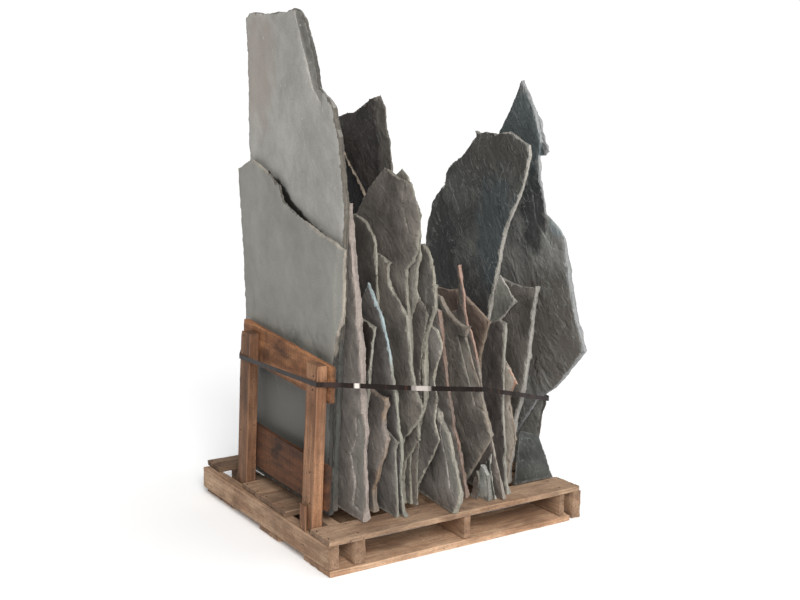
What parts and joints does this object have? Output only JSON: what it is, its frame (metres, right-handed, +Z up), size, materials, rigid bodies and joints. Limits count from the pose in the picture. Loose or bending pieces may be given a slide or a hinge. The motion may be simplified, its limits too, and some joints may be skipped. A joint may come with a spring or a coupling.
{
  "type": "strapped pallet of slate slabs",
  "caption": "Rough slate slabs of many heights standing on edge on a timber pallet, held together by a steel band and a wooden end frame.",
  "frame": {"origin": "centre of the pallet's footprint, on the underside of its base boards (1.22 m along X, 1.18 m along Y)", "axes": "+Z up; X along the pallet's front edge, from the end with the wooden frame to the other end; +Y from the front edge to the back"},
  "size_m": [1.2517, 1.2852, 2.1415],
  "materials": {
    "slate_light": null,
    "slate_grey": null,
    "slate_dark": null,
    "slate_rusty": null,
    "pallet_wood": "rough sawn, bare",
    "frame_wood": "sawn, bare, darkened with age",
    "band_steel": "dark strapping steel, half gloss"
  },
  "bodies": {
    "root": {"band_seal": "band_steel", "base_board_front": "pallet_wood", "base_board_middle": "pallet_wood", "base_board_rear": "pallet_wood", "deck_board_front": "pallet_wood", "deck_board_middle_a": "pallet_wood", "deck_board_middle_b": "pallet_wood", "deck_board_rear": "pallet_wood", "frame_board_bottom": "frame_wood", "frame_board_top": "frame_wood", "post_front": "frame_wood", "post_rear": "frame_wood", "slab_01_broad": "slate_light", "slab_02_tallest": "slate_light", "slab_03_straight": "slate_light", "slab_04_short": "slate_grey", "slab_05_wavy": "slate_rusty", "slab_06_sliver": "slate_grey", "slab_07_curved": "slate_grey", "slab_08_stepped": "slate_grey", "slab_09_hooked": "slate_grey", "slab_10_leaf": "slate_grey", "slab_11_behind_leaf": "slate_grey", "slab_12_thin": "slate_grey", "slab_13_thick": "slate_grey", "slab_14_notched": "slate_grey", "slab_15_sloped": "slate_grey", "slab_16_dark_tall": "slate_dark", "slab_17_grey_front": "slate_grey", "slab_18_rusty": "slate_rusty", "slab_19_arched": "slate_grey", "slab_20_chip": "slate_grey", "slab_21_foot": "slate_light", "slab_22_splinter": "slate_light", "slab_23_orange_edge": "slate_rusty", "slab_24_brown_top": "slate_rusty", "slab_25_upright": "slate_light", "slab_26_nosed": "slate_rusty", "slab_27_rounded": "slate_dark", "slab_28_pointed": "slate_dark", "slab_29_parallel": "slate_light", "slab_30_spired": "slate_dark", "slab_31_end": "slate_grey", "slab_32_front_wedge": "slate_dark", "steel_band": "band_steel", "stringer_left": "pallet_wood", "stringer_left_inner": "pallet_wood", "stringer_middle": "pallet_wood", "stringer_right": "pallet_wood", "stringer_right_inner": "pallet_wood", "wedge_block": "frame_wood"}
  },
  "joints": []
}
